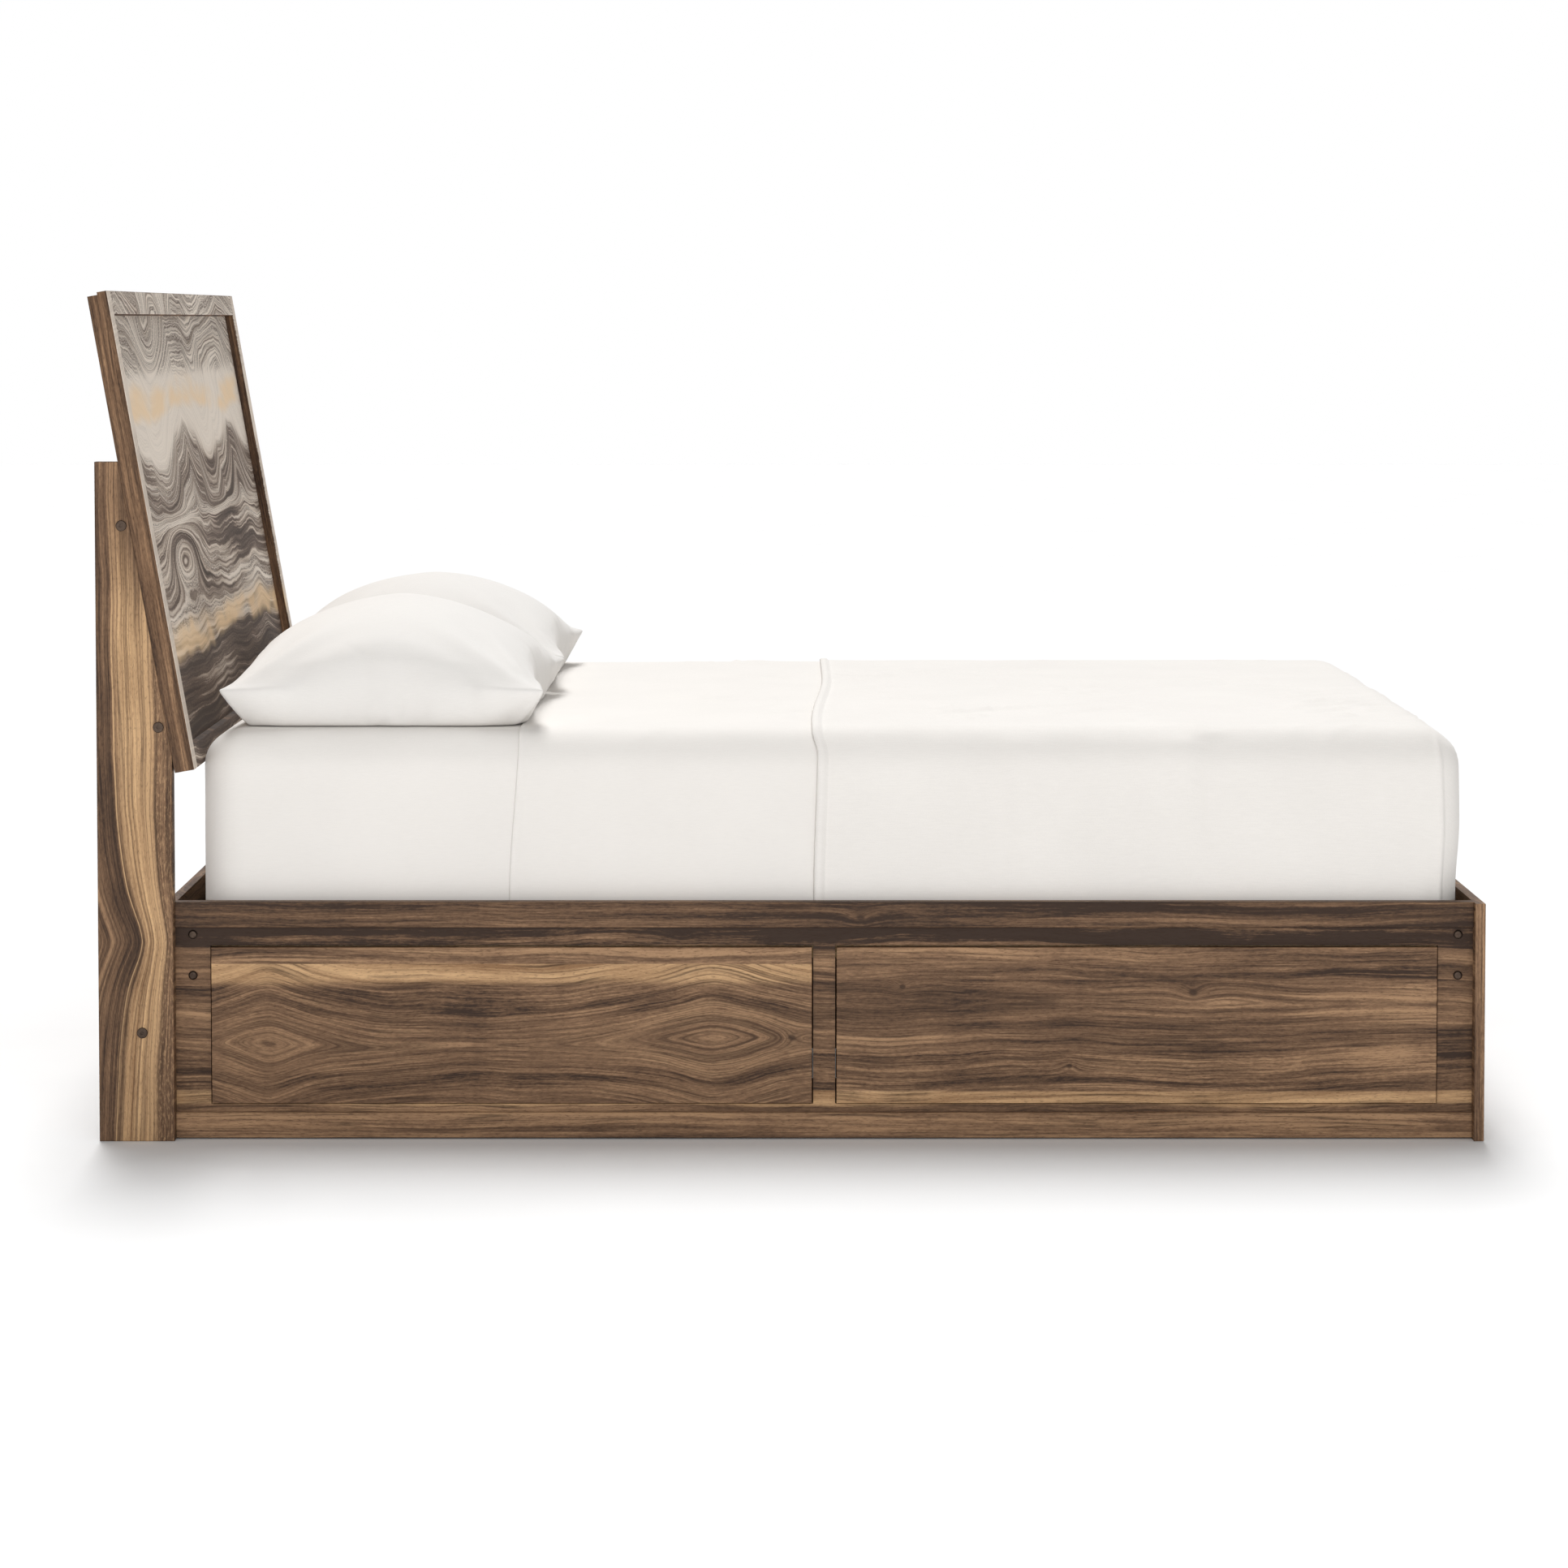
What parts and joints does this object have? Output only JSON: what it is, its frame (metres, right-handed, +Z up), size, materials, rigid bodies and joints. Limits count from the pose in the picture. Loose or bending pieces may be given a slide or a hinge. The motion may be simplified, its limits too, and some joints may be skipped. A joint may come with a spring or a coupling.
{
  "type": "platform bed with storage drawers",
  "caption": "Platform bed with a leaning panel headboard, side storage drawers, a slatted deck, mattress, sheets and pillows.",
  "frame": {"origin": "on the floor under the centre of the whole bed", "axes": "+Z up, +Y towards the head end, X across the bed; left is the -X side"},
  "size_m": [1.4732, 2.0784, 1.2698],
  "materials": {
    "walnut": "satin printed walnut",
    "printed_panel": "matte printed pale wood",
    "drawer_ply": "matte board",
    "slat_pine": "planed pine",
    "bronze_bolt": "dark bronze",
    "zinc_steel": "zinc plated",
    "felt": "pressed felt",
    "ticking": "woven ticking",
    "sheet_cotton": "plain weave cotton",
    "coverlet_cotton": "plain weave cotton",
    "pillow_cotton": "plain weave cotton"
  },
  "bodies": {
    "frame": {"barrel_nuts": "zinc_steel", "bottom_strip_left": "walnut", "bottom_strip_right": "walnut", "bracket_screws": "zinc_steel", "centre_spine": "drawer_ply", "corner_brackets": "zinc_steel", "floor_glides": "felt", "footboard": "walnut", "head_cross_rail": "walnut", "headboard_back_panel": "printed_panel", "headboard_bottom_rail": "printed_panel", "headboard_cleats": "walnut", "headboard_stile_left": "printed_panel", "headboard_stile_right": "printed_panel", "headboard_top_rail": "printed_panel", "leg_bolts": "bronze_bolt", "leg_left": "walnut", "leg_right": "walnut", "partitions": "drawer_ply", "rail_bolts": "bronze_bolt", "rail_nuts": "zinc_steel", "side_panel_left": "walnut", "side_panel_right": "walnut", "slat_ledgers": "slat_pine", "slat_screws": "zinc_steel", "slats": "slat_pine", "slide_fixed_members": "zinc_steel", "top_strip_left": "walnut", "top_strip_right": "walnut"},
    "drawer_left_head": {"drawer_left_head_box_ends": "drawer_ply", "drawer_left_head_box_sides": "drawer_ply", "drawer_left_head_floor": "drawer_ply", "drawer_left_head_front": "walnut", "drawer_left_head_slide_inner": "zinc_steel"},
    "runner_left_head": {"drawer_left_head_slide_middle": "zinc_steel"},
    "drawer_left_foot": {"drawer_left_foot_box_ends": "drawer_ply", "drawer_left_foot_box_sides": "drawer_ply", "drawer_left_foot_floor": "drawer_ply", "drawer_left_foot_front": "walnut", "drawer_left_foot_slide_inner": "zinc_steel"},
    "runner_left_foot": {"drawer_left_foot_slide_middle": "zinc_steel"},
    "drawer_right_head": {"drawer_right_head_box_ends": "drawer_ply", "drawer_right_head_box_sides": "drawer_ply", "drawer_right_head_floor": "drawer_ply", "drawer_right_head_front": "walnut", "drawer_right_head_slide_inner": "zinc_steel"},
    "runner_right_head": {"drawer_right_head_slide_middle": "zinc_steel"},
    "drawer_right_foot": {"drawer_right_foot_box_ends": "drawer_ply", "drawer_right_foot_box_sides": "drawer_ply", "drawer_right_foot_floor": "drawer_ply", "drawer_right_foot_front": "walnut", "drawer_right_foot_slide_inner": "zinc_steel"},
    "runner_right_foot": {"drawer_right_foot_slide_middle": "zinc_steel"},
    "bedding": {"coverlet": "coverlet_cotton", "fitted_sheet": "sheet_cotton", "mattress": "ticking", "top_sheet": "sheet_cotton"},
    "pillow_left_body": {"pillow_left": "pillow_cotton"},
    "pillow_right_body": {"pillow_right": "pillow_cotton"}
  },
  "joints": [
    {"name": "drawer_left_head_slide", "type": "slide", "parent": "frame", "child": "drawer_left_head", "axis": [-1, 0, 0], "range_m": [0, 0.48]},
    {"name": "runner_left_head_slide", "type": "slide", "parent": "frame", "child": "runner_left_head", "axis": [-1, 0, 0], "range_m": [0, 0.24]},
    {"name": "drawer_left_foot_slide", "type": "slide", "parent": "frame", "child": "drawer_left_foot", "axis": [-1, 0, 0], "range_m": [0, 0.48]},
    {"name": "runner_left_foot_slide", "type": "slide", "parent": "frame", "child": "runner_left_foot", "axis": [-1, 0, 0], "range_m": [0, 0.24]},
    {"name": "drawer_right_head_slide", "type": "slide", "parent": "frame", "child": "drawer_right_head", "axis": [1, 0, 0], "range_m": [0, 0.48]},
    {"name": "runner_right_head_slide", "type": "slide", "parent": "frame", "child": "runner_right_head", "axis": [1, 0, 0], "range_m": [0, 0.24]},
    {"name": "drawer_right_foot_slide", "type": "slide", "parent": "frame", "child": "drawer_right_foot", "axis": [1, 0, 0], "range_m": [0, 0.48]},
    {"name": "runner_right_foot_slide", "type": "slide", "parent": "frame", "child": "runner_right_foot", "axis": [1, 0, 0], "range_m": [0, 0.24]},
    {"name": "mattress_lift", "type": "slide", "parent": "frame", "child": "bedding", "axis": [0, 0, 1], "range_m": [0, 0.35]},
    {"name": "pillow_left_lift", "type": "slide", "parent": "bedding", "child": "pillow_left_body", "axis": [0, 0, 1], "range_m": [0, 0.25]},
    {"name": "pillow_right_lift", "type": "slide", "parent": "bedding", "child": "pillow_right_body", "axis": [0, 0, 1], "range_m": [0, 0.25]}
  ],
  "couplings": [
    {"joint": "runner_left_head_slide", "follows": "drawer_left_head_slide", "ratio": 0.5},
    {"joint": "runner_left_foot_slide", "follows": "drawer_left_foot_slide", "ratio": 0.5},
    {"joint": "runner_right_head_slide", "follows": "drawer_right_head_slide", "ratio": 0.5},
    {"joint": "runner_right_foot_slide", "follows": "drawer_right_foot_slide", "ratio": 0.5}
  ]
}
